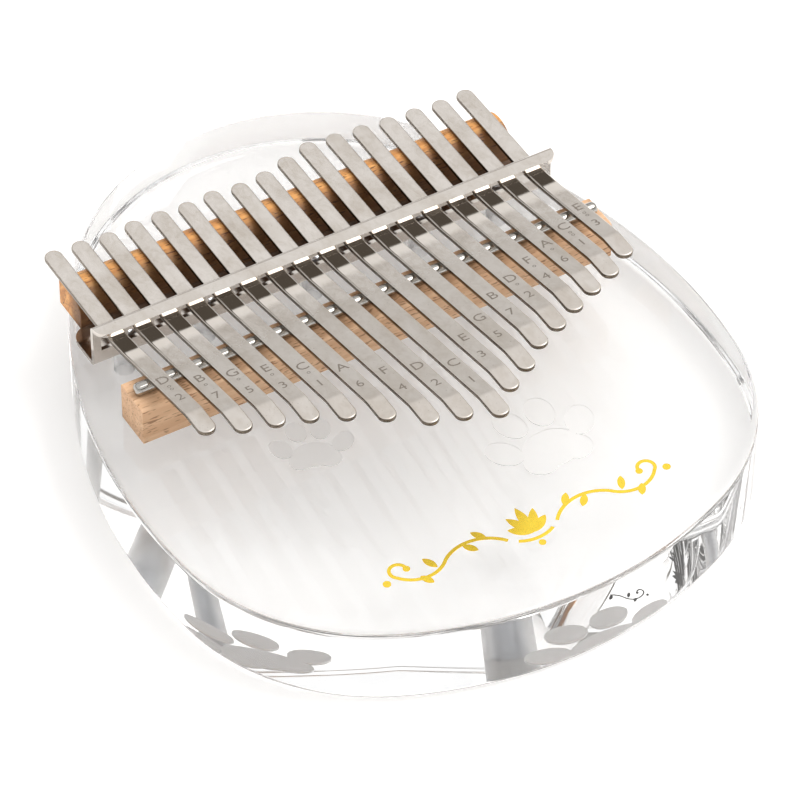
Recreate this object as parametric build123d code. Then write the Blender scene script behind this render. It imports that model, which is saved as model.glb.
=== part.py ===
"""Seventeen-tine mbira (kalimba) on a solid clear acrylic slab.

Millimetres. +Z is up, the tine tips that are plucked point to -Y (the player) and the low notes
are in the middle. The origin is the centre of the slab's underside.
"""
from math import atan, cos, hypot, pi, sin, sqrt, tan
import os

from build123d import *

# ---------------------------------------------------------------- slab
slab_width = 138.2  # across the widest place
slab_depth = 165.2  # front edge to rear edge
slab_thick = 20.0  # stock acrylic sheet
slab_widest_y = -18.1  # where the sides are furthest apart
front_radius = 93.0
corner_radius = 50.5
side_radius = 132.3
slab_top_edge = 1.5  # rounding of the upper rim
slab_bottom_edge = 2.0

# ---------------------------------------------------------------- tines
tine_count = 17
tine_pitch = 6.5
tine_width = 4.1
tine_thick = 1.1
tip_flat = 7.3  # level end of each tine, in front of its upper kink
first_rise = 9.0  # degrees, from the bracket's web to the second bend
second_bend_y = 17.0  # from here the tines run straight onto the rod
split_gap = 0.15  # between a clamped root and its free blade
# Free length in front of the rod, left to right: D6 B5 G5 E5 C5 A4 F4 D4 C4 E4 G4 B4 D5 F5 A5 C6 E6
free_lengths = [24.3, 28.5, 31.0, 33.9, 38.0, 43.4, 50.0, 52.8, 56.5,
                49.7, 45.4, 39.9, 36.6, 32.9, 29.6, 26.4, 21.7]
# Tail behind the rear bridge, left to right: tuning slides each tine a little in or out
tail_lengths = [6.4, 6.2, 5.6, 6.1, 5.9, 5.5, 5.9, 5.1, 5.7, 7.5, 9.3, 8.8, 8.2, 7.6, 7.2, 6.7, 6.9]

# ---------------------------------------------------------------- clamp bracket (bent sheet)
sheet = 1.0
bracket_length = 114.6
bracket_shift = 1.1  # the bracket and the rear bridge sit a little to the right
web_rear_y = 28.1
bracket_height = 11.3
top_flange = 4.3  # front edge to the web's rear face
top_corner = 3.0
foot_flange = 11.4  # web's front face to the rear edge
foot_corner = 4.0
bend_outer = 1.2
bend_inner = 0.2
slot_width = 4.5
slot_foot = 4.0  # web left below each slot
slide_clearance = 0.1  # tine top to the steel above it

# ---------------------------------------------------------------- bridges and rod
rear_bridge_length = 108.7
rear_bridge_deep = 10.0
rear_bridge_gap = 0.1  # to the bracket's foot in front of it
crown_radius = 6.25
crown_from_rear = 4.2  # rear face to the crest
front_bridge_length = 116.4
front_bridge_deep = 9.7
front_bridge_rear_y = 10.7
front_bridge_high = 9.6
front_bridge_edge = 0.9
rod_diameter = 3.0
rod_length = 114.4
rod_y = 6.3
rod_sunk = 0.2  # depth of the groove the rod lies in
rod_fit = 0.03
touch = 0.02  # a tine's underside to the wood or metal it rests on

# ---------------------------------------------------------------- screws
screw_places = [-47.0, -27.0, 0.0, 27.0, 47.0]  # from the bracket's middle
screw_diameter = 4.3
screw_hole = 4.6  # through the slab
screw_clearance = 4.8  # through the foot flange
screw_bite = 8.5  # length inside the slab
head_diameter = 6.6
head_high = 1.9
recess_radius = 1.0
recess_deep = 0.9

# ---------------------------------------------------------------- decoration
engraving_deep = 0.25
foil_thick = 0.12
foil_line = 0.8
ornament_y = -60.5  # middle of the gold ornament
ornament_half = 35.0  # its half width
paws = [(-28.3, -19.6, -19.0, 0.75), (16.2, -43.2, 3.0, 1.08)]  # x, y, turn in degrees, scale

# ---------------------------------------------------------------- worked-out places
web_front_y = web_rear_y - sheet
top_flange_under = slab_thick + bracket_height - sheet
flange_front_y = web_rear_y - top_flange
bend_y = web_front_y  # the tines turn up as they leave the web's slots
first_slope = tan(first_rise * pi / 180)
tine_top = top_flange_under - slide_clearance - (bend_y - flange_front_y) * first_slope
tine_under = tine_top - tine_thick
second_bend_z = tine_under + (bend_y - second_bend_y) * first_slope
foot_rear_y = web_front_y + foot_flange
rear_bridge_front_y = foot_rear_y + rear_bridge_gap
rear_bridge_rear_y = rear_bridge_front_y + rear_bridge_deep
crest_y = rear_bridge_rear_y - crown_from_rear
crest_z = tine_under - touch
rod_radius = rod_diameter / 2
rod_z = slab_thick + front_bridge_high - rod_sunk + rod_radius


def rise_angle():
    """Angle at which a straight tine leaves its second bend and lies on top of the rod."""
    run = second_bend_y - rod_y
    drop = rod_z - second_bend_z
    # distance from the bend to the tangent line over the rod
    reach = hypot(run, drop)
    return atan(drop / run) + atan((rod_radius + touch) / sqrt(reach**2 - (rod_radius + touch)**2))


rise = rise_angle()
contact_y = rod_y + (rod_radius + touch) * sin(rise)
contact_z = rod_z + (rod_radius + touch) * cos(rise)
print(f"tines rise {rise * 180 / pi:.2f} degrees; blade pivots at y {contact_y:.3f}, z {contact_z:.3f}")


# ---------------------------------------------------------------- slab outline
def toward(start, end, distance):
    """Point at a distance from start on the line to end."""
    dx, dy = end[0] - start[0], end[1] - start[1]
    long = hypot(dx, dy)
    return (start[0] + dx / long * distance, start[1] + dy / long * distance)


def arc_middle(centre, start, end):
    """Middle point of the short arc from start to end about a centre."""
    radius = hypot(start[0] - centre[0], start[1] - centre[1])
    half = ((start[0] + end[0]) / 2, (start[1] + end[1]) / 2)
    return toward(centre, half, radius)


def slab_outline():
    """Closed outline of tangent arcs: front, corner, side, one rear arc, and their mirror image."""
    side_centre = (slab_width / 2 - side_radius, slab_widest_y)
    front_centre = (0.0, -slab_depth / 2 + front_radius)
    back_span = slab_depth / 2 - slab_widest_y
    rear_radius = (side_radius**2 - back_span**2 - side_centre[0]**2) / (2 * (side_radius - back_span))
    rear_centre = (0.0, slab_depth / 2 - rear_radius)
    # the corner arc touches the front arc and the side arc from inside
    near, far = front_radius - corner_radius, side_radius - corner_radius
    dx, dy = side_centre[0] - front_centre[0], side_centre[1] - front_centre[1]
    apart = hypot(dx, dy)
    along = (apart**2 + near**2 - far**2) / (2 * apart)
    aside = sqrt(near**2 - along**2)
    corner_centre = (front_centre[0] + (along * dx - aside * dy) / apart,
                     front_centre[1] + (along * dy + aside * dx) / apart)
    front_mid = (0.0, -slab_depth / 2)
    rear_mid = (0.0, slab_depth / 2)
    front_end = toward(front_centre, corner_centre, front_radius)
    corner_end = toward(side_centre, corner_centre, side_radius)
    side_end = toward(side_centre, rear_centre, side_radius)
    stretches = [(corner_centre, front_end, corner_end), (side_centre, corner_end, side_end)]
    left = {p: (-p[0], p[1]) for p in (front_end, side_end)}
    edges = [ThreePointArc(left[front_end], front_mid, front_end),
             ThreePointArc(side_end, rear_mid, left[side_end])]
    for centre, start, end in stretches:
        middle = arc_middle(centre, start, end)
        edges.append(ThreePointArc(start, middle, end))
        edges.append(ThreePointArc(*[(-x, y) for x, y in (start, middle, end)]))
    return make_face(Wire(edges))


# ---------------------------------------------------------------- decoration shapes
def paw_shape(x, y, turn, scale):
    """A soft three-lobed pad with four toes, as one flat sketch."""
    pad = Ellipse(6.2, 5.0) + Pos(-4.0, -2.2) * Ellipse(3.7, 3.4) + Pos(4.0, -2.2) * Ellipse(3.7, 3.4)
    toes = [(-8.9, 3.6, 32), (-3.5, 9.6, 10), (3.5, 9.6, -10), (8.9, 3.6, -32)]
    shapes = [pad] + [Pos(tx, ty) * Rot(0, 0, lean) * Ellipse(3.0, 4.1) for tx, ty, lean in toes]
    place = Pos(x, y) * Rot(0, 0, turn)
    return [place * shape.scale(scale) for shape in shapes]


def leaf(length, width):
    """Pointed leaf along +Y from the origin."""
    side = [ThreePointArc((0, 0), (width / 2, length / 2), (0, length)),
            ThreePointArc((0, length), (-width / 2, length / 2), (0, 0))]
    return make_face(Wire(side))


def vine(side):
    """One half of the ornament: a long S-shaped stem with a curl, two dots and four leaves."""
    stem = [ThreePointArc((6.0, -1.6), (13.0, 2.2), (20.0, 0.2)),
            ThreePointArc((20.0, 0.2), (26.0, -2.2), (31.5, 0.8)),
            ThreePointArc((31.5, 0.8), (31.0, 4.0), (28.4, 2.0))]
    shapes = [trace(edge, foil_line) for edge in stem]
    leaves = [(9.5, 1.2, 35, 3.8), (15.0, 1.9, -140, 3.6), (22.5, -0.8, 25, 4.0), (27.0, -1.3, -150, 3.4)]
    shapes += [Pos(x, y) * Rot(0, 0, -turn) * leaf(long, 1.7) for x, y, turn, long in leaves]
    shapes += [Pos(ornament_half - 0.9, 0.2) * Circle(0.9), Pos(28.4, 2.0) * Circle(0.8)]
    return [shape if side > 0 else mirror(shape, Plane.YZ) for shape in shapes]


def palmette():
    """Middle of the ornament: a fan of five leaves over a small arc and a dot."""
    fan = [Pos(0, -2.2) * Rot(0, 0, turn) * leaf(long, 2.2)
           for turn, long in ((0, 8.0), (28, 7.0), (-28, 7.0), (56, 5.6), (-56, 5.6))]
    base = trace(ThreePointArc((-4.2, -2.9), (0, -4.0), (4.2, -2.9)), foil_line)
    return fan + [base, Pos(0, -5.6) * Circle(0.8)]


# ---------------------------------------------------------------- pieces
def slab():
    """The sounding slab, with its screw holes and two engraved paw prints."""
    body = extrude(slab_outline(), slab_thick)
    body = fillet(body.faces().sort_by(Axis.Z)[-1].edges(), slab_top_edge)
    body = fillet(body.faces().sort_by(Axis.Z)[0].edges(), slab_bottom_edge)
    for x in screw_places:
        hole = Cylinder(screw_hole / 2, slab_thick * 3)
        body -= Pos(x + bracket_shift, screw_y(), 0) * hole
    for x, y, turn, scale in paws:
        for shape in paw_shape(x, y, turn, scale):
            body -= Pos(0, 0, slab_thick - engraving_deep) * extrude(shape, 2 * engraving_deep)
    return body


def screw_y():
    """The screws stand midway between the web and the rear bridge."""
    return (web_rear_y + rear_bridge_front_y) / 2


def gold_ornament():
    """Foil ornament on the slab's front: separate thin solids where strokes don't meet."""
    shapes = vine(1) + vine(-1) + palmette()
    foil = Part() + [extrude(shape, foil_thick) for shape in shapes]
    return Pos(0, ornament_y, slab_thick) * foil


def clamp_bracket():
    """Z-section: foot flange to the rear, slotted web, top flange over the tines."""
    high = bracket_height
    section = [(web_front_y, 0), (foot_rear_y, 0), (foot_rear_y, sheet), (web_rear_y, sheet),
               (web_rear_y, high), (flange_front_y, high), (flange_front_y, high - sheet),
               (web_front_y, high - sheet)]
    face = make_face(Polyline(*[(0, y, slab_thick + z) for y, z in section], close=True))
    bar = extrude(face, bracket_length / 2, dir=(1, 0, 0), both=True)
    along = bar.edges().filter_by(Axis.X)
    inner = [along.sort_by_distance((0, web_rear_y, slab_thick + sheet))[0],
             along.sort_by_distance((0, web_front_y, top_flange_under))[0]]
    outer = [along.sort_by_distance((0, web_rear_y, slab_thick + high))[0],
             along.sort_by_distance((0, web_front_y, slab_thick))[0]]
    bar = fillet(inner, bend_inner)
    outer = [bar.edges().filter_by(Axis.X).sort_by_distance(edge.center())[0] for edge in outer]
    bar = fillet(outer, bend_outer)
    upright = bar.edges().filter_by(Axis.Z)
    bar = fillet([e for e in upright if abs(e.center().Y - flange_front_y) < sheet], top_corner)
    upright = bar.edges().filter_by(Axis.Z)
    bar = fillet([e for e in upright if abs(e.center().Y - foot_rear_y) < sheet], foot_corner)
    bar = Pos(bracket_shift, 0, 0) * bar
    slot_top = tine_top + slide_clearance
    slot_high = slot_top - slab_thick - slot_foot
    for x in tine_places():
        slot = Box(slot_width, 3 * sheet, slot_high, align=(Align.CENTER, Align.CENTER, Align.MAX))
        bar -= Pos(x, web_front_y + sheet / 2, slot_top) * slot
    for x in screw_places:
        bar -= Pos(x + bracket_shift, screw_y(), slab_thick) * Cylinder(screw_clearance / 2, 4 * sheet)
    return bar


def bracket_screws():
    """Five identical pan-head screws with a cross recess."""
    seat = slab_thick + sheet
    shank_long = sheet + screw_bite
    low = (Align.CENTER, Align.CENTER, Align.MAX)
    high = (Align.CENTER, Align.CENTER, Align.MIN)
    screw = Cylinder(screw_diameter / 2, shank_long, align=low)
    head = Cylinder(head_diameter / 2, head_high, align=high)
    screw += fillet(head.faces().sort_by(Axis.Z)[-1].edges(), head_high * 0.45)
    screw = chamfer(screw.faces().sort_by(Axis.Z)[0].edges(), screw_diameter * 0.2)
    cross = Box(2.6 * recess_radius, 0.7 * recess_radius, recess_deep, align=low)
    cross += Rot(0, 0, 90) * cross
    screw -= Pos(0, 0, head_high) * cross
    return Compound([Pos(x + bracket_shift, screw_y(), seat) * screw for x in screw_places])


def rear_bridge():
    """Hardwood block with a crowned top, on which the tines rest."""
    crown_z = crest_z - crown_radius

    def crown(y):
        return crown_z + sqrt(crown_radius**2 - (y - crest_y)**2)

    front, rear = rear_bridge_front_y, rear_bridge_rear_y
    front_top = (0, front, crown(front))
    rear_top = (0, rear, crown(rear))
    edges = [Line((0, front, slab_thick), (0, rear, slab_thick)), Line((0, rear, slab_thick), rear_top),
             ThreePointArc(rear_top, (0, crest_y, crest_z), front_top),
             Line(front_top, (0, front, slab_thick))]
    block = extrude(make_face(Wire(edges)), rear_bridge_length / 2, dir=(1, 0, 0), both=True)
    return Pos(bracket_shift, 0, 0) * block


def front_bridge():
    """Hardwood block with a shallow groove for the rod."""
    block = Box(front_bridge_length, front_bridge_deep, front_bridge_high,
                align=(Align.CENTER, Align.MAX, Align.MIN))
    block = Pos(0, front_bridge_rear_y, slab_thick) * block
    top = block.edges().filter_by(Axis.X).group_by(Axis.Z)[-1]
    block = fillet(top.sort_by(Axis.Y)[0], front_bridge_edge)
    groove = Rot(0, 90, 0) * Cylinder(rod_radius + rod_fit, 2 * front_bridge_length)
    return block - Pos(0, rod_y, rod_z) * groove


def bridge_rod():
    """Polished rod with domed ends."""
    rod = Rot(0, 90, 0) * Cylinder(rod_radius, rod_length)
    rims = rod.edges().filter_by(GeomType.CIRCLE)
    return Pos(0, rod_y, rod_z) * fillet(rims, rod_radius * 0.8)


def tine_places():
    """X of every tine, the longest one over the slab's middle."""
    return [(number - (tine_count - 1) / 2) * tine_pitch for number in range(tine_count)]


def tine(x, free_length, tail):
    """A whole tine in place: level tail, two bends up to the rod, level tip, both ends rounded."""
    rear_y = rear_bridge_rear_y + tail
    tip_y = rod_y - free_length
    kink_y = tip_y + tip_flat
    kink_z = contact_z + (contact_y - kink_y) * tan(rise)
    under = [(rear_y, tine_under), (bend_y, tine_under), (second_bend_y, second_bend_z),
             (kink_y, kink_z), (tip_y, kink_z)]
    # the sheet's thickness is square to each stretch, so the upper corners lie on the half angle
    first = first_rise * pi / 180
    turns = [(0, 0), (0, first), (first, rise), (rise, 0), (0, 0)]
    upper = []
    for (y, z), (before, after) in zip(under, turns):
        lean = (before + after) / 2
        reach = tine_thick / cos((after - before) / 2)
        upper.append((y + reach * sin(lean), z + reach * cos(lean)))
    outline = [(0, y, z) for y, z in under + upper[::-1]]
    strip = extrude(make_face(Polyline(*outline, close=True)), tine_width / 2, dir=(1, 0, 0), both=True)
    middle = (rear_y + tip_y) / 2
    plan = SlotOverall(rear_y - tip_y, tine_width, rotation=90)
    return Pos(x, 0, 0) * (strip & Pos(0, middle, 0) * extrude(plan, 4 * slab_thick))


def tine_halves(x, free_length, tail):
    """The tine cut square across where it leaves the rod: clamped root, free blade."""
    whole = tine(x, free_length, tail)
    cut = Plane(origin=(x, contact_y, contact_z), z_dir=(0, -cos(rise), sin(rise)))
    root = split(whole, cut, keep=Keep.BOTTOM)
    blade = split(whole, cut.offset(split_gap), keep=Keep.TOP)
    return root, blade


def build():
    """Every piece by its node name."""
    pieces = {
        "body_slab": slab(),
        "gold_ornament": gold_ornament(),
        "clamp_bracket": clamp_bracket(),
        "bracket_screws": bracket_screws(),
        "rear_bridge": rear_bridge(),
        "front_bridge": front_bridge(),
        "bridge_rod": bridge_rod(),
    }
    rows = zip(tine_places(), free_lengths, tail_lengths)
    for number, (x, free_length, tail) in enumerate(rows, start=1):
        root, blade = tine_halves(x, free_length, tail)
        pieces[f"tine_{number:02d}_root"] = root
        pieces[f"tine_{number:02d}_blade"] = blade
    return pieces


os.makedirs("parts", exist_ok=True)
for name, shape in build().items():
    export_step(shape, f"parts/{name}.step")
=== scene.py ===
# %% [markdown]
# # A clear mbira with seventeen steel tines
# This lesson dresses a CAD model of a mbira, also called a kalimba: a little
# instrument whose steel tines are plucked with the thumbs. Its body is one slab of
# clear acrylic. Its main sizes come from the CAD frame, so the first step is to load
# it, and to note its box, because nothing that we add may grow the instrument.

# %% load the frame
import math

import bmesh
import bpy
from mathutils import Matrix, Vector


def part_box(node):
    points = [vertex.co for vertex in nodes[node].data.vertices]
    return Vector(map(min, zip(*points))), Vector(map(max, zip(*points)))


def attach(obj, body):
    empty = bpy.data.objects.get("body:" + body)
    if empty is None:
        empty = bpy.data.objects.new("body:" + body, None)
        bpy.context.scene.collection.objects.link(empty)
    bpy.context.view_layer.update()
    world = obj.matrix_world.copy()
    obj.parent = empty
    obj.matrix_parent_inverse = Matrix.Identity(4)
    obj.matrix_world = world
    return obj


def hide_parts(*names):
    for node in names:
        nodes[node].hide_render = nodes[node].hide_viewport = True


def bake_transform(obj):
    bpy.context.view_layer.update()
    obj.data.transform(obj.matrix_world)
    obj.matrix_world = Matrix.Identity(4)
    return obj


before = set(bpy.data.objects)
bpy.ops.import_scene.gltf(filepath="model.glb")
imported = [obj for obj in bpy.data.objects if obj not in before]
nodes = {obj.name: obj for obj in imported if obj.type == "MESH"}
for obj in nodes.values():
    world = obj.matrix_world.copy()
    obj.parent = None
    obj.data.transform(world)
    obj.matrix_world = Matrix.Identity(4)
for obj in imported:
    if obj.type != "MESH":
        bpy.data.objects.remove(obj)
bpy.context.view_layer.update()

MM = 0.001
slab_low, slab_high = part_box("body_slab")
print("the slab measures", [round(v / MM, 1) for v in slab_high - slab_low], "mm")

# %% [markdown]
# ## Writing shaders as sums
# A material is a small program made of nodes, and wiring it by hand hides the idea
# behind it. Two small classes let us write that program as arithmetic. `Wire` stands
# for one output socket, and adding or multiplying wires makes the Math nodes. `Finish`
# is one material, with one method that makes any other node: its settings first, then
# the values or wires of its sockets.

# %% wires and finishes
class Wire:
    """One output socket, with arithmetic that makes Math nodes."""

    def __init__(self, finish, socket):
        self.finish = finish
        self.socket = socket

    def math(self, operation, other, swap=False):
        pair = (other, self) if swap else (self, other)
        return self.finish.node("ShaderNodeMath", {"operation": operation}, dict(enumerate(pair)))

    def __add__(self, other):
        return self.math("ADD", other)

    def __radd__(self, other):
        return self.math("ADD", other, swap=True)

    def __sub__(self, other):
        return self.math("SUBTRACT", other)

    def __rsub__(self, other):
        return self.math("SUBTRACT", other, swap=True)

    def __mul__(self, other):
        return self.math("MULTIPLY", other)

    def __rmul__(self, other):
        return self.math("MULTIPLY", other, swap=True)

    def __truediv__(self, other):
        return self.math("DIVIDE", other)

    def __rtruediv__(self, other):
        return self.math("DIVIDE", other, swap=True)


class Finish:
    """A node program: a material's, or the world's."""

    def __init__(self, name, owner=None):
        self.owner = owner or bpy.data.materials.new(name)
        self.owner.use_nodes = True
        self.tree = self.owner.node_tree
        self.tree.nodes.clear()

    def node(self, kind, settings=None, sockets=None, out=0):
        """Any node: settings first, then the values or wires of its sockets."""
        made = self.tree.nodes.new(kind)
        for key, value in (settings or {}).items():
            if key == "stops":
                self.fill_ramp(made.color_ramp, value)
            else:
                setattr(made, key, value)
        for key, value in (sockets or {}).items():
            if isinstance(value, Wire):
                self.tree.links.new(value.socket, made.inputs[key])
            else:
                made.inputs[key].default_value = value
        return Wire(self, made.outputs[out]) if made.outputs else made

    def fill_ramp(self, ramp, stops):
        """Stops are (place, colour) pairs; a lone number is a grey."""
        while len(ramp.elements) < len(stops):
            ramp.elements.new(1.0)
        for element, (place, colour) in zip(ramp.elements, stops):
            grey = isinstance(colour, (int, float))
            element.position = place
            element.color = (colour, colour, colour, 1) if grey else (*colour, 1)

    def place(self, stretch=(1, 1, 1)):
        """Where a point lies on the piece, in millimetres times the stretch."""
        spot = self.node("ShaderNodeTexCoord", out=3)
        scale = tuple(s / MM for s in stretch)
        return self.node("ShaderNodeMapping", {}, {"Vector": spot, "Scale": scale})

    def noise(self, spot, scale=1.0, detail=2.0, roughness=0.5, distortion=0.0):
        return self.node("ShaderNodeTexNoise", {}, {
            "Vector": spot, "Scale": scale, "Detail": detail,
            "Roughness": roughness, "Distortion": distortion})

    def ramp(self, factor, *stops):
        return self.node("ShaderNodeValToRGB", {"stops": stops}, {"Fac": factor})

    def mix(self, factor, first, second):
        """A colour between two colours."""
        first, second = [c if isinstance(c, Wire) else (*c, 1) for c in (first, second)]
        return self.node("ShaderNodeMix", {"data_type": "RGBA"}, {0: factor, 6: first, 7: second}, out=2)

    def bump(self, height, depth):
        """A bent normal; depth is the height, in metres, of a step from 0 to 1."""
        return self.node("ShaderNodeBump", {}, {"Height": height, "Distance": depth, "Strength": 1.0})

    def surface(self, **sockets):
        """The Principled surface. Spaces in a socket's name are written as _."""
        values = {k.replace("_", " "): v for k, v in sockets.items()}
        for key, value in values.items():
            if isinstance(value, tuple) and len(value) == 3 and "Color" in key:
                values[key] = (*value, 1)
        shade = self.node("ShaderNodeBsdfPrincipled", {}, values)
        self.node("ShaderNodeOutputMaterial", {}, {"Surface": shade})
        return self.owner


def dress(name, finish):
    """Gives a CAD node its finish."""
    nodes[name].data.materials.clear()
    nodes[name].data.materials.append(finish)


print("shader helpers are ready")

# %% [markdown]
# ## Mesh helpers
# Every piece below ends as a mesh with a finish; all but the tines and their marks ride on a body of the CAD
# model.
# Four helpers do the common work: one turns points and faces into a piece, one makes
# its modifiers permanent, one stops smooth shading at corners, and one borrows a CAD
# node's shape and rounds its edges. The last matters for realism, because no real edge
# is perfectly sharp: a tenth of a millimetre of rounding catches a line of light.

# %% mesh helpers
def piece(name, points, faces, finish, body="frame"):
    """A new piece from points in metres; it rides on a body unless body is None."""
    mesh = bpy.data.meshes.new(name)
    mesh.from_pydata(points, [], faces)
    mesh.validate()
    mesh.polygons.foreach_set("use_smooth", [True] * len(mesh.polygons))
    made = bpy.data.objects.new(name, mesh)
    bpy.context.scene.collection.objects.link(made)
    mesh.materials.append(finish)
    if body:
        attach(made, body)
    return made


def apply_changes(made):
    """Makes a piece's modifiers permanent."""
    ready = made.evaluated_get(bpy.context.evaluated_depsgraph_get())
    old = made.data
    made.modifiers.clear()
    made.data = bpy.data.meshes.new_from_object(ready)
    bpy.data.meshes.remove(old)


def sharpen(made, degrees=30):
    """Smooth shading that stops at corners sharper than this."""
    mesh = made.data
    work = bmesh.new()
    work.from_mesh(mesh)
    for edge in work.edges:
        edge.smooth = not (edge.is_manifold and edge.calc_face_angle() > math.radians(degrees))
    for face in work.faces:
        face.smooth = True
    work.to_mesh(mesh)
    work.free()


AIR = 0.03 * MM
WELD = 0.002 * MM


def rounded_copy(node, finish, width, steps=2):
    """Stands for a CAD node: its own shape, with every sharp edge rounded by width.

    A piece that stands on the slab keeps a film of air below it. Without one, the slab
    could not mirror light at its own top, and its walls would look dark."""
    made = nodes[node].copy()
    made.data = nodes[node].data.copy()
    made.name = node + "_rounded"
    made.parent = None
    for key in [k for k in made.keys() if k.startswith("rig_")]:
        del made[key]
    bpy.context.scene.collection.objects.link(made)
    work = bmesh.new()
    work.from_mesh(made.data)
    bmesh.ops.remove_doubles(work, verts=work.verts, dist=WELD)
    bmesh.ops.dissolve_limit(work, angle_limit=math.radians(0.5), verts=work.verts, edges=work.edges)
    work.to_mesh(made.data)
    work.free()
    edge = made.modifiers.new("edge", "BEVEL")
    edge.width, edge.segments = width * MM, steps
    edge.limit_method, edge.angle_limit = "ANGLE", math.radians(28)
    apply_changes(made)
    for vertex in made.data.vertices:
        if vertex.co.z < slab_high.z + AIR:
            vertex.co.z = slab_high.z + AIR
    sharpen(made, 40)
    made.modifiers.new("even", "WEIGHTED_NORMAL").keep_sharp = True
    apply_changes(made)
    made.data.materials.clear()
    made.data.materials.append(finish)
    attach(made, "frame")
    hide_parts(node)
    return made


print("mesh helpers are ready")

# %% [markdown]
# ## Clear acrylic
# The body is solid cast acrylic, polished until it looks wet. Light bends as it goes in
# and out, so the finish needs real transmission with acrylic's index of 1.49, and no
# colour of its own beyond a breath of grey. Where the laser or the drill has touched
# it, the surface is frosted: it scatters light, so it is part white and part clear.
# Light inside clear plastic bounces many times between the polished faces, so the
# renderer is allowed to follow it further than usual.

# %% acrylic
def clear_acrylic():
    f = Finish("clear_acrylic")
    haze = f.noise(f.place(), scale=0.06, detail=3)
    tint = f.mix(haze, (0.985, 0.988, 0.990), (0.997, 0.998, 1.0))
    return f.surface(Base_Color=tint, Roughness=haze * 0.004, IOR=1.49, Transmission_Weight=1.0)


def frosted_acrylic():
    f = Finish("frosted_acrylic")
    grain = f.noise(f.place(), scale=7.0, detail=2)
    milk = f.mix(grain, (0.93, 0.93, 0.93), (1.0, 1.0, 1.0))
    return f.surface(Base_Color=milk, Roughness=0.35 + grain * 0.25, IOR=1.49,
                     Transmission_Weight=0.72, Normal=f.bump(grain, 0.02 * MM))


acrylic, frosted = clear_acrylic(), frosted_acrylic()
paths = bpy.context.scene.cycles
paths.max_bounces, paths.transmission_bounces, paths.glossy_bounces = 32, 32, 24
print("acrylic made")

# %% [markdown]
# ## The slab's outline
# Seen from above, the slab is a soft pebble: a flat front, full corners, long sides and
# a round back, and each arc runs into the next without a corner. One half is enough,
# because the other is its mirror image. Each point also keeps the direction that
# points outwards, which later rounds the rim exactly.

# %% outline
slab_wide = slab_high.x - slab_low.x
slab_long = slab_high.y - slab_low.y
slab_thick = slab_high.z - slab_low.z
front_radius, corner_radius, side_radius = 93.0 * MM, 50.5 * MM, 132.3 * MM
widest_y = -18.1 * MM


def slab_outline(step=1.3 * MM):
    """Points (x, y, outward x, outward y) round the slab, from the front's middle."""
    side = Vector((slab_wide / 2 - side_radius, widest_y))
    front = Vector((0, slab_low.y + front_radius))
    span = slab_high.y - widest_y
    rear_radius = (side_radius**2 - span**2 - side.x**2) / (2 * (side_radius - span))
    rear = Vector((0, slab_high.y - rear_radius))
    near, far = front_radius - corner_radius, side_radius - corner_radius
    gap = side - front
    along = (gap.length_squared + near**2 - far**2) / (2 * gap.length)
    aside = math.sqrt(near**2 - along**2)
    ahead = gap.normalized()
    corner = front + along * ahead + aside * Vector((-ahead.y, ahead.x))
    turns = [-math.pi / 2] + [math.atan2(d.y, d.x) for d in (corner - front, corner - side, rear - side)]
    turns.append(math.pi / 2)
    half = []
    arcs = zip((front, corner, side, rear), (front_radius, corner_radius, side_radius, rear_radius),
               turns, turns[1:])
    for centre, radius, start, end in arcs:
        count = math.ceil(radius * (end - start) / step)
        for k in range(count):
            a = start + (end - start) * k / count
            half.append((centre.x + radius * math.cos(a), centre.y + radius * math.sin(a),
                         math.cos(a), math.sin(a)))
    rear_middle = (0.0, slab_high.y, 0.0, 1.0)
    return half + [rear_middle] + [(-x, y, -nx, ny) for x, y, nx, ny in half[:0:-1]]


outline = slab_outline()
print("the outline has", len(outline), "points")

# %% [markdown]
# ## The slab
# The slab is a stack of rings of that outline: the bottom rounding, the wall and the
# top rounding, each ring drawn in a little and moved up a little. Then two tools cut
# it: five drills for the bracket's screws, and a laser that sinks two paw prints a
# quarter of a millimetre into the top. A paw is a soft pad and four toes, all ovals.
# The cut faces get the frosted finish.

# %% slab
top_round, bottom_round = 1.5 * MM, 2.0 * MM
engraving = 0.25 * MM
ROUND_STEPS = 9
SCREW_PLACES = (-47, -27, 0, 27, 47)
drill_radius = 2.3 * MM
paws_middle_y, paws_reach = 15 * MM, 60 * MM
drills_reach = 52 * MM


def slab_rings():
    """(inset, height) of every ring, from the underside's rim to the top's rim."""
    rings = []
    for k in range(ROUND_STEPS + 1):
        a = math.pi / 2 * k / ROUND_STEPS
        rings.append((bottom_round * (1 - math.sin(a)), bottom_round * (1 - math.cos(a))))
    for k in range(ROUND_STEPS + 1):
        a = math.pi / 2 * k / ROUND_STEPS
        rings.append((top_round * (1 - math.cos(a)), slab_thick - top_round * (1 - math.sin(a))))
    return rings


def oval_prism(points, faces, x, y, turn, wide, deep, low, high, count=72):
    """Adds one closed upright oval prism to the lists."""
    first = len(points)
    for z in (low, high):
        for k in range(count):
            a = 2 * math.pi * k / count
            u, v = wide * math.cos(a), deep * math.sin(a)
            c, s = math.cos(turn), math.sin(turn)
            points.append((x + u * c - v * s, y + u * s + v * c, z))
    faces.append(list(range(first + count - 1, first - 1, -1)))
    faces.append(list(range(first + count, first + 2 * count)))
    for k in range(count):
        m = (k + 1) % count
        faces.append((first + k, first + m, first + count + m, first + count + k))


PAD = [(0, 0, 0, 6.2, 5.0), (-4.0, -2.2, 0, 3.7, 3.4), (4.0, -2.2, 0, 3.7, 3.4)]
TOES = [(-8.9, 3.6, 32, 3.0, 4.1), (-3.5, 9.6, 10, 3.0, 4.1),
        (3.5, 9.6, -10, 3.0, 4.1), (8.9, 3.6, -32, 3.0, 4.1)]
PAWS = [(-28.3, -19.6, -19.0, 0.75), (16.2, -43.2, 3.0, 1.08)]


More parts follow.
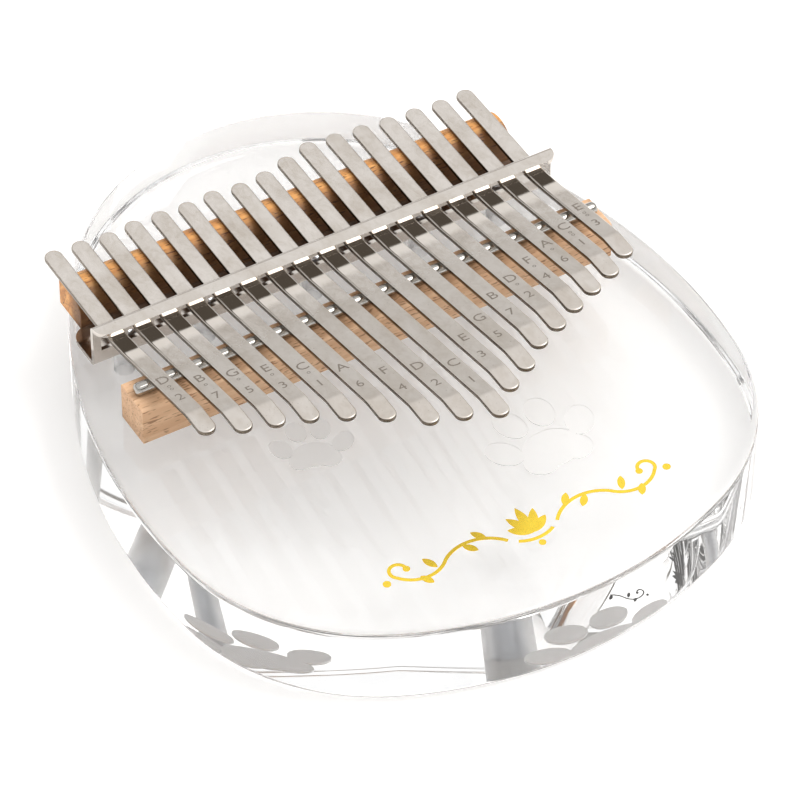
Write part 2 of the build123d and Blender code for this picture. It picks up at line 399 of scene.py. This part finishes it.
def cutter(name, ovals, low, high):
    points, faces = [], []
    for oval in ovals:
        oval_prism(points, faces, *oval, low, high)
    mesh = bpy.data.meshes.new(name)
    mesh.from_pydata(points, [], faces)
    made = bpy.data.objects.new(name, mesh)
    bpy.context.scene.collection.objects.link(made)
    return made


def paw_ovals(x, y, turn, scale):
    """The ovals of one paw print, in metres, in place."""
    lean = math.radians(turn)
    ovals = []
    for u, v, own, wide, deep in PAD + TOES:
        u, v = u * scale, v * scale
        ovals.append(((x + u * math.cos(lean) - v * math.sin(lean)) * MM,
                      (y + u * math.sin(lean) + v * math.cos(lean)) * MM,
                      lean + math.radians(own), wide * scale * MM, deep * scale * MM))
    return ovals


def carve(made, tool):
    """Cuts the tool's shape out of a piece, and throws the tool away."""
    cutting = made.modifiers.new("cut", "BOOLEAN")
    cutting.object, cutting.operation = tool, "DIFFERENCE"
    cutting.solver, cutting.use_self = "EXACT", True
    apply_changes(made)
    bpy.data.objects.remove(tool)


def clear_slab():
    rings = slab_rings()
    count = len(outline)
    points = [(x - nx * inset, y - ny * inset, z) for inset, z in rings for x, y, nx, ny in outline]
    faces = [list(range(count - 1, -1, -1)), list(range(len(points) - count, len(points)))]
    for r in range(len(rings) - 1):
        for k in range(count):
            m = (k + 1) % count
            faces.append((r * count + k, r * count + m, (r + 1) * count + m, (r + 1) * count + k))
    made = piece("clear_slab", points, faces, acrylic, body=None)
    screw_low, screw_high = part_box("bracket_screws")
    middle_x, screw_y = (screw_low.x + screw_high.x) / 2, (screw_low.y + screw_high.y) / 2
    drills = [(middle_x + x * MM, screw_y, 0, drill_radius, drill_radius) for x in SCREW_PLACES]
    carve(made, cutter("drill", drills, -0.01, 0.05))
    for paw in PAWS:
        carve(made, cutter("laser", paw_ovals(*paw), slab_thick - engraving, slab_thick + 0.01))
    made.data.materials.append(frosted)
    for face in made.data.polygons:
        level = abs(face.normal.z) > 0.9999
        face.use_smooth = not level
        inside = Vector((face.center.x, face.center.y + paws_middle_y)).length < paws_reach
        sunk = inside and slab_thick - engraving * 1.1 < face.center.z < slab_thick - 0.01 * MM
        in_row = abs(face.center.y - screw_y) < 2.5 * MM and abs(face.center.x) < drills_reach
        drilled = in_row and not level
        face.material_index = 1 if sunk or drilled else 0
    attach(made, "frame")
    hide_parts("body_slab")
    frosty = sum(f.material_index for f in made.data.polygons)
    print("slab faces:", len(made.data.polygons), "of which frosted:", frosty)
    return made


clear_slab()

# %% [markdown]
# ## Nickel-plated steel
# The tines and the clamp bracket are nickel plated: a warm grey mirror, slightly satin,
# with faint brownish water marks where fingers and polish dried. The marks are two
# noises of different size, and they change the colour and the roughness together,
# because a stain is both darker and duller.

# %% plated steel
def plated_steel(name, clean, stain, gloss, stain_amount, polish=0.0):
    """Polish makes a clear mirror just in front of the bracket, and more satin tips."""
    f = Finish(name)
    broad = f.noise(f.place((1, 0.55, 1)), scale=0.13, detail=4, roughness=0.6, distortion=0.5)
    veins = f.noise(f.place((1, 0.7, 1)), scale=0.55, detail=4, roughness=0.5, distortion=0.9)
    along_y = f.node("ShaderNodeSeparateXYZ", {}, {0: f.place()}, out=1)
    mirror = f.ramp(along_y / 100, (0.125, 0.0), (0.150, polish), (0.245, polish), (0.25, 0.0))
    marks = f.ramp(broad, (0.40, 0.0), (0.70, 1.0)) * 0.65 + f.ramp(veins, (0.42, 0.0), (0.75, 0.35))
    marks = marks * (1 - mirror * 0.7)
    pits = f.ramp(f.noise(f.place(), scale=2.6, detail=1), (0.735, 0.0), (0.77, 1.0)) * (1 - mirror)
    colour = f.mix(marks * stain_amount, clean, stain)
    colour = f.mix(pits * 0.45, colour, (0.20, 0.16, 0.13))
    grain = f.noise(f.place((4, 0.6, 1)), scale=2.0, detail=2)
    satin = f.ramp(along_y / 100 + 0.6, (0.59, polish * 0.13), (0.68, 0.0))
    rough = (gloss + satin + marks * 0.07 + pits * 0.15) * (1 - mirror * 0.85)
    return f.surface(Base_Color=colour, Roughness=rough, Metallic=1.0,
                     Normal=f.bump(grain + broad * 2.0, 0.003 * MM))


tine_steel = plated_steel("tine_steel", (0.68, 0.635, 0.59), (0.47, 0.41, 0.345), 0.20, 0.75, polish=1.0)
# The sides and round ends of the tines get a much darker copy of the same steel: painted shade, standing for
# the dark reflections on those faces.
tine_side_shade = plated_steel("tine_side_shade", (0.20, 0.165, 0.13), (0.08, 0.06, 0.045), 0.16, 0.9)
bracket_nickel = plated_steel("bracket_nickel", (0.65, 0.605, 0.56), (0.48, 0.42, 0.355), 0.10, 0.55)
rounded_copy("clamp_bracket", bracket_nickel, 0.12)
print("steel made, bracket rounded")

# %% [markdown]
# ## The tines
# A tine is a strip of spring steel. It lies level on the rear bridge, passes through a
# slot in the bracket, turns up in two soft bends, rests on the chrome rod and ends in
# a level tip with a round end. We draw its side view as a line with rounded bends, and
# its plan as a long slot shape, and then stack loops of that plan for the edges.

# %% tine path
TINE_COUNT = 17
tine_wide, tine_thick = 4.1 * MM, 1.1 * MM
tip_flat = 7.3 * MM
second_bend_y = 17.0 * MM
web_front_y = 27.1 * MM
bend_radii = (5.0 * MM, 40.0 * MM, 6.0 * MM)
first_rise = math.radians(9)


def side_view(number):
    """Corners of a tine's underside, as (y, z), from its rear end to its tip."""
    root_low, root_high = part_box(f"tine_{number:02d}_root")
    blade_low, blade_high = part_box(f"tine_{number:02d}_blade")
    rod_low, rod_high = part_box("bridge_rod")
    under, tip_z = root_low.z, blade_high.z - tine_thick
    bend = Vector((web_front_y, under))
    second = bend + Vector((second_bend_y - web_front_y,
                            (web_front_y - second_bend_y) * math.tan(first_rise)))
    rod = Vector(((rod_low.y + rod_high.y) / 2, (rod_low.z + rod_high.z) / 2))
    reach, radius = rod - second, (rod_high.z - rod_low.z) / 2 + 0.02 * MM
    rise = math.atan2(reach.y, -reach.x) + math.asin(radius / reach.length)
    kink_y = blade_low.y + tip_flat
    return [Vector((root_high.y, under)), bend, second, Vector((kink_y, tip_z)),
            Vector((blade_low.y, tip_z))], rise


def rounded_line(corners, radii, step=math.radians(1.2)):
    """Points along the corners with each inner corner rounded by its radius."""
    line = [corners[0]]
    for before, at, after, radius in zip(corners, corners[1:], corners[2:], radii):
        way_in, way_out = (at - before).normalized(), (after - at).normalized()
        turn = math.atan2(way_in.x * way_out.y - way_in.y * way_out.x, way_in.dot(way_out))
        trim = radius * math.tan(abs(turn) / 2)
        start = at - way_in * trim
        side = Vector((-way_in.y, way_in.x)) * math.copysign(radius, turn)
        centre = start + side
        count = max(2, math.ceil(abs(turn) / step))
        for k in range(count + 1):
            a = turn * k / count
            spoke = -side
            line.append(centre + Vector((spoke.x * math.cos(a) - spoke.y * math.sin(a),
                                         spoke.x * math.sin(a) + spoke.y * math.cos(a))))
    return line + [corners[-1]]


corners, rise = side_view(9)
print("tines rise", round(math.degrees(rise), 2), "degrees; the longest has",
      len(rounded_line(corners, bend_radii)), "points in its side view")

# %% tines
def along(line, distance):
    """Point and upward normal at a distance along a line of points."""
    for start, end in zip(line, line[1:]):
        length = (end - start).length
        if distance <= length or end is line[-1]:
            way = (end - start).normalized()
            return start + way * distance, Vector((way.y, -way.x))
        distance -= length


def edge_profile():
    """(inset, height) pairs up a tine's edge: small rounding below, larger above."""
    low, high = 0.16 * MM, 0.34 * MM
    profile = [(low + 0.12 * MM, 0.0)]
    for k in range(4):
        a = math.pi / 2 * k / 3
        profile.append((low * (1 - math.sin(a)), low * (1 - math.cos(a))))
    for k in range(6):
        a = math.pi / 2 * k / 5
        profile.append((high * (1 - math.cos(a)), tine_thick - high * (1 - math.sin(a))))
    profile.append((high + 0.12 * MM, tine_thick))
    return profile


def flat_side(count, ends, base, flip):
    """Closes the lowest or highest loop: quads along the strip, then its two round ends."""
    sides = []
    for k in range(count - 1):
        opposite = 2 * count + ends - 1 - k
        sides.append([k, k + 1, opposite - 1, opposite])
    sides.append(list(range(count - 1, count + ends + 1)))
    sides.append(list(range(2 * count + ends - 1, 2 * count + 2 * ends)) + [0])
    placed = [[base + i for i in side] for side in sides]
    return [side[::-1] if flip else side for side in placed]


def tine(number):
    """One whole strip, as loops of its plan stacked up its edge and bent along its side view."""
    corners, _ = side_view(number)
    line = rounded_line(corners, bend_radii)
    total = sum((b - a).length for a, b in zip(line, line[1:]))
    root_low, root_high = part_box(f"tine_{number:02d}_root")
    x0, radius = (root_low.x + root_high.x) / 2, tine_wide / 2
    marks, far = [], 0.0
    for a, b in zip(line, line[1:]):
        far += (b - a).length
        if radius * 1.02 < far < total - radius * 1.02:
            marks.append(far)
    stations = [radius]
    for far in marks + [total - radius]:
        while far - stations[-1] > 3.0 * MM:
            stations.append(stations[-1] + 2.5 * MM)
        stations.append(far)
    round_end = [math.pi * k / 20 for k in range(1, 20)]
    points, profile = [], edge_profile()
    for inset, lift in profile:
        r = radius - inset
        plan = [(r, s) for s in stations]
        plan += [(r * math.cos(a), total - radius + r * math.sin(a)) for a in round_end]
        plan += [(-r, s) for s in reversed(stations)]
        plan += [(-r * math.cos(a), radius - r * math.sin(a)) for a in round_end]
        for x, s in plan:
            spot, up = along(line, s)
            spot = spot + up * lift
            points.append((x0 + x, spot.x, spot.y))
    loop = len(points) // len(profile)
    faces = []
    for r in range(len(profile) - 1):
        for k in range(loop):
            m = (k + 1) % loop
            faces.append((r * loop + m, r * loop + k, (r + 1) * loop + k, (r + 1) * loop + m))
    faces += flat_side(len(stations), len(round_end), 0, False)
    faces += flat_side(len(stations), len(round_end), len(points) - loop, True)
    made = piece(f"tine_{number:02d}", points, faces, tine_steel, body=None)
    work = bmesh.new()
    work.from_mesh(made.data)
    bmesh.ops.recalc_face_normals(work, faces=work.faces)
    for face in work.faces:
        # faces that face sideways take the dark copy of the steel, which paints shade on them
        face.material_index = 1 if abs(face.normal.z) < 0.55 else 0
    work.to_mesh(made.data)
    work.free()
    made.data.materials.append(tine_side_shade)
    return made


def hinge(made):
    """Bakes a mesh's placement into its points."""
    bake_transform(made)


for number in range(1, TINE_COUNT + 1):
    strip = tine(number)
    hinge(strip)
    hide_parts(f"tine_{number:02d}_root", f"tine_{number:02d}_blade")
print("tines made:", TINE_COUNT)

# %% [markdown]
# ## Note marks
# Each tine is stamped with its note: a letter, dots for a high octave, and the
# number of the note in the scale of C. Stamped strokes are dull and a little dark
# because dirt settles in them. Text in Blender is a curve, so each mark is written as
# text, turned into a mesh a hundredth of a millimetre thick and laid on its tine.

# %% note marks
STAMP_LIFT = 0.006 * MM
NOTES = "D2:  B7.  G5.  E3.  C1.  A6   F4   D2   C1   E3   G5   B7   D2.  F4.  A6.  C1:  E3:".split()


def mark_finish():
    f = Finish("stamped_mark")
    dirt = f.noise(f.place(), scale=2.5, detail=3)
    return f.surface(Base_Color=f.mix(dirt, (0.40, 0.355, 0.31), (0.22, 0.18, 0.145)),
                     Roughness=0.30 + dirt * 0.2, Metallic=1.0)


mark_steel = mark_finish()


def written(text, size):
    """A text as mesh points and faces, centred on the origin, in metres."""
    curve = bpy.data.curves.new("text", "FONT")
    curve.body, curve.size, curve.extrude = text, size, STAMP_LIFT
    curve.align_x, curve.align_y = "CENTER", "CENTER"
    curve.resolution_u = 3
    holder = bpy.data.objects.new("text", curve)
    bpy.context.scene.collection.objects.link(holder)
    bpy.context.view_layer.update()
    mesh = bpy.data.meshes.new_from_object(holder.evaluated_get(bpy.context.evaluated_depsgraph_get()))
    bpy.data.objects.remove(holder)
    return mesh


def ring_mesh(radius, line):
    """A flat little ring for an octave dot."""
    mesh, work = bpy.data.meshes.new("ring"), bmesh.new()
    count = 20
    around = [(math.cos(2 * math.pi * k / count), math.sin(2 * math.pi * k / count)) for k in range(count)]
    rows = [[work.verts.new((c * r, s * r, STAMP_LIFT)) for c, s in around] for r in (radius, radius - line)]
    for k in range(count):
        m = (k + 1) % count
        work.faces.new((rows[0][k], rows[0][m], rows[1][m], rows[1][k]))
    work.to_mesh(mesh)
    work.free()
    return mesh


def note_mark(number, note):
    corners, _ = side_view(number)
    line = rounded_line(corners, bend_radii)
    total = sum((b - a).length for a, b in zip(line, line[1:]))
    low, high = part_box(f"tine_{number:02d}_blade")
    x0 = (low.x + high.x) / 2
    dots = {".": 1, ":": 2}.get(note[-1], 0)
    things = [(written(note[0], 4.0 * MM), 21.0), (written(note[1], 3.6 * MM), 13.2)]
    things += [(ring_mesh(0.42 * MM, 0.16 * MM), 18.2 - 1.25 * k) for k in range(dots)]
    work = bmesh.new()
    for mesh, from_tip in things:
        spot, up = along(line, total - from_tip * MM)
        spot = spot + up * (tine_thick + 0.008 * MM)
        back = Vector((0, up.y, -up.x))
        mesh.transform(Matrix(((1, back.x, 0, x0), (0, back.y, up.x, spot.x),
                               (0, back.z, up.y, spot.y), (0, 0, 0, 1))))
        work.from_mesh(mesh)
        bpy.data.meshes.remove(mesh)
    mesh = bpy.data.meshes.new(f"note_mark_{number:02d}")
    work.to_mesh(mesh)
    work.free()
    mesh.materials.clear()
    mesh.materials.append(mark_steel)
    made = bpy.data.objects.new(f"note_mark_{number:02d}", mesh)
    bpy.context.scene.collection.objects.link(made)
    return made


for number, note in enumerate(NOTES, start=1):
    hinge(note_mark(number, note))
print("marks made:", len(NOTES))

# %% [markdown]
# ## Chrome, zinc and gold
# The rod under the tines is polished chrome, and the screws are zinc plated. The
# ornament is a thin gold foil pressed on with heat, so it is a metal with a fine
# crinkle.

# %% small metals
def bright_metal(name, light, dark, gloss, crinkle):
    f = Finish(name)
    cloud = f.noise(f.place(), scale=0.8, detail=4)
    colour = f.mix(cloud, light, dark)
    fine = f.noise(f.place(), scale=5.0, detail=3)
    return f.surface(Base_Color=colour, Roughness=gloss + cloud * 0.06, Metallic=1.0,
                     Normal=f.bump(fine, crinkle * MM))


chrome = bright_metal("polished_chrome", (0.52, 0.50, 0.47), (0.30, 0.285, 0.26), 0.03, 0.001)
zinc = bright_metal("zinc_plate", (0.70, 0.73, 0.78), (0.56, 0.58, 0.62), 0.18, 0.004)
gold = bright_metal("gold_foil", (1.0, 0.77, 0.10), (0.93, 0.62, 0.05), 0.22, 0.010)
dress("gold_ornament", gold)
print("small metals made")

# %% [markdown]
# ## Rod and screws
# Both are round, so both are turned: a side view of radius against distance is spun
# about an axis. The rod's ends are domed. The screws are pan heads with a cross
# recess, and their thread is not a picture but a shape: the radius of each point
# follows a triangle wave that climbs one pitch per turn, as a real thread does.

# %% turned pieces
def turned(side, count, thread=None):
    """Points and faces of a solid spun about Z from (height, radius) rows."""
    points = []
    for height, radius in side:
        for k in range(count):
            a = 2 * math.pi * k / count
            deep = thread(height, a) if thread else 0.0
            points.append(((radius - deep) * math.cos(a), (radius - deep) * math.sin(a), height))
    faces = [(r * count + k, r * count + (k + 1) % count, (r + 1) * count + (k + 1) % count,
              (r + 1) * count + k) for r in range(len(side) - 1) for k in range(count)]
    faces += [list(range(count - 1, -1, -1)), list(range(len(points) - count, len(points)))]
    return points, faces


def chrome_rod():
    low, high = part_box("bridge_rod")
    radius, half, dome = (high.z - low.z) / 2, (high.x - low.x) / 2, 1.1 * MM
    right = [(half - dome + dome * math.sin(a), radius - dome + dome * math.cos(a))
             for a in [math.pi / 2 * k / 8 for k in range(9)]]
    side = [(-x, r) for x, r in reversed(right)] + right
    points, faces = turned(side, 72)
    middle = (low + high) / 2
    points = [(middle.x + z, middle.y + x, middle.z + y) for x, y, z in points]
    made = piece("chrome_rod", points, faces, chrome)
    sharpen(made, 50)
    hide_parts("bridge_rod")


THREAD_PITCH, THREAD_DEEP = 1.0 * MM, 0.34 * MM
head_height, shank_radius = 1.9 * MM, 2.1 * MM


def screw_thread(height, a):
    wave = (height / THREAD_PITCH - a / (2 * math.pi)) % 1
    return THREAD_DEEP * min(1.0, abs(2 * wave - 1) * 1.3) if height < -0.6 * MM else 0.0


def screws():
    low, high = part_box("bracket_screws")
    seat = high.z - head_height
    bottom = low.z - seat
    head = [(0.0, 3.3), (0.95, 3.3), (1.3, 3.2), (1.6, 2.9), (1.8, 2.45), (1.9, 1.9)]
    shank = [(bottom, 1.5 * MM), (bottom + 0.35 * MM, shank_radius)]
    rows = math.ceil(-bottom / (THREAD_PITCH / 8))
    shank += [(bottom * (1 - k / rows), shank_radius) for k in range(1, rows)
              if bottom * (1 - k / rows) > bottom + 0.4 * MM]
    shank += [(-0.01 * MM, shank_radius)]
    side = shank + [(z * MM, r * MM) for z, r in head]
    points, faces = turned(side, 40, screw_thread)
    one = piece("one_screw", points, faces, zinc, body=None)
    recess, walls = [], []
    for turn in (0, math.pi / 2):
        bar, bar_faces = turned([(1.0 * MM, 1.3 * MM), (2.5 * MM, 1.3 * MM)], 4)
        first = len(recess)
        c, s = math.cos(turn), math.sin(turn)
        for x, y, z in bar:
            u, v = (x + y) * 0.7071, (y - x) * 0.27
            recess.append((u * c - v * s, u * s + v * c, z))
        walls += [[first + i for i in face] for face in bar_faces]
    tool = piece("cross", recess, walls, zinc, body=None)
    carve(one, tool)
    sharpen(one, 35)
    middle = Vector(((low.x + high.x) / 2, (low.y + high.y) / 2, seat))
    work = bmesh.new()
    for x in SCREW_PLACES:  # each screw stopped at a turn of its own
        copy = one.data.copy()
        copy.transform(Matrix.Translation(middle + Vector((x * MM, 0, 0))) @ Matrix.Rotation(x, 4, "Z"))
        work.from_mesh(copy)
        bpy.data.meshes.remove(copy)
    bpy.data.objects.remove(one)
    mesh = bpy.data.meshes.new("threaded_screws")
    work.to_mesh(mesh)
    work.free()
    mesh.materials.append(zinc)
    made = bpy.data.objects.new("threaded_screws", mesh)
    bpy.context.scene.collection.objects.link(made)
    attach(made, "frame")
    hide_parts("bracket_screws")
    print("screw faces:", len(mesh.polygons))


chrome_rod()
screws()

# %% [markdown]
# ## Beech
# Both bridges are beech. Its growth rings make soft stripes along the block, and its
# rays make the short dark flecks that tell beech from other woods. Stretching a noise
# along the block gives both: a long stretch for rings, a short one for flecks.

# %% beech
def beech(name, pale, deep, fleck, fleck_amount, bracket_shade=0.0):
    """Its last value paints shade on the slope that faces the bracket, which the bracket keeps in shadow."""
    f = Finish(name)
    rings = f.noise(f.place((0.02, 0.5, 0.5)), scale=1.0, detail=3, distortion=0.6)
    pores = f.noise(f.place((0.10, 3.0, 3.0)), scale=1.0, detail=3)
    flecks = f.noise(f.place((0.42, 2.6, 2.6)), scale=1.0, detail=1)
    fleck_mask = f.ramp(flecks, (0.60, 0.0), (0.68, 1.0))
    colour = f.mix(f.ramp(rings, (0.35, 0.0), (0.65, 1.0)), pale, deep)
    colour = f.mix(f.ramp(pores, (0.45, 0.0), (0.75, 0.5)), colour, deep)
    colour = f.mix(fleck_mask * fleck_amount, colour, fleck)
    along_y = f.node("ShaderNodeSeparateXYZ", {}, {0: f.place()}, out=1)
    # painted shade: the wood turns dark towards the bracket, on the slope that it shadows
    shade = f.ramp(along_y / 100, (0.385, bracket_shade), (0.415, bracket_shade * 0.8), (0.44, 0.0))
    colour = f.mix(shade, colour, (0.055, 0.018, 0.004))
    return f.surface(Base_Color=colour, Roughness=0.42 + pores * 0.25,
                     Normal=f.bump(pores - fleck_mask * 0.6, 0.03 * MM))


rear_wood = beech("amber_beech", (0.84, 0.43, 0.14), (0.55, 0.22, 0.06), (0.13, 0.04, 0.01), 0.9,
                  bracket_shade=0.82)
front_wood = beech("plain_beech", (0.84, 0.56, 0.35), (0.70, 0.42, 0.24), (0.30, 0.13, 0.06), 0.8)
rounded_copy("rear_bridge", rear_wood, 0.25, 3)
rounded_copy("front_bridge", front_wood, 0.22, 3)
print("wood made")

# %% [markdown]
# ## Floor, light and camera
# A product table: a pale floor that runs out of sight, and a plain soft studio around
# it. The floor gives off a little light of its own, which keeps it pale. The studio is
# the same in every direction and changes only with height: a white backdrop, a dark gap
# above it, and a wide soft ceiling. Polished metal only shows what surrounds it, so the
# stretch of each tine that tilts towards the gap looks dark. One large soft lamp adds a
# faint shadow. A long lens keeps parallel edges nearly parallel.

# %% floor
def floor():
    mesh = bpy.data.meshes.new("floor")
    half = 3.0
    corners = [(-half, -half, 0), (half, -half, 0), (half, half, 0), (-half, half, 0)]
    mesh.from_pydata(corners, [], [(0, 1, 2, 3)])
    made = bpy.data.objects.new("floor", mesh)
    bpy.context.scene.collection.objects.link(made)
    made.location.z = -0.02 * MM
    f = Finish("pale_floor")
    cloud = f.noise(f.place(), scale=0.004)
    mesh.materials.append(f.surface(
        Base_Color=f.mix(cloud, (0.80, 0.80, 0.80), (0.82, 0.82, 0.82)), Roughness=0.8,
        Emission_Color=(1.0, 0.972, 0.945, 1), Emission_Strength=0.33))


floor()
print("floor laid")

# %% sky
world = bpy.data.worlds.new("studio")
bpy.context.scene.world = world
sky = Finish("studio", world)
height = sky.node("ShaderNodeSeparateXYZ", {}, {0: sky.node("ShaderNodeTexCoord", out=0)}, out=2)
glow = sky.ramp(height, (0.0, (0.72, 0.73, 0.74)), (0.20, (0.94, 0.95, 0.96)), (0.40, (1.0, 0.99, 0.97)),
                (0.425, (0.10, 0.085, 0.07)), (0.52, (0.10, 0.085, 0.07)), (0.58, (1.0, 1.0, 1.0)),
                (1.0, (0.97, 0.97, 0.97)))
light = sky.node("ShaderNodeBackground", {}, {"Color": glow, "Strength": 1.08})
sky.node("ShaderNodeOutputWorld", {}, {"Surface": light})
bpy.context.scene.view_settings.view_transform = "Standard"


def softbox(name, spot, aim, size, watts, colour=(1, 1, 1)):
    lamp = bpy.data.lights.new(name, "AREA")
    lamp.shape = "RECTANGLE"
    lamp.size, lamp.size_y = size
    lamp.energy = watts
    lamp.color = colour
    holder = bpy.data.objects.new(name, lamp)
    bpy.context.scene.collection.objects.link(holder)
    holder.location = spot
    holder.rotation_euler = (Vector(aim) - Vector(spot)).to_track_quat("-Z", "Y").to_euler()


softbox("key_light", (0.5, -0.2, 0.9), (0, 0, 0), (0.6, 0.6), 6.0, (1.0, 0.97, 0.93))
print("light set")

# %% camera
camera_turn = 30.15
camera_height = 44.57
lens_data = bpy.data.cameras.new("camera")
lens_data.lens = 255.1
lens_data.sensor_width = 36.0
lens_data.clip_start = 0.05
camera = bpy.data.objects.new("camera", lens_data)
bpy.context.scene.collection.objects.link(camera)
camera.location = (-437.8 * MM, -760.7 * MM, 869.9 * MM)
turn, lift = math.radians(camera_turn), math.radians(camera_height)
gaze = Vector((math.sin(turn) * math.cos(lift), math.cos(turn) * math.cos(lift), -math.sin(lift)))
camera.rotation_euler = gaze.to_track_quat("-Z", "Y").to_euler()
bpy.context.scene.camera = camera
print("camera looks along", [round(v, 3) for v in gaze])
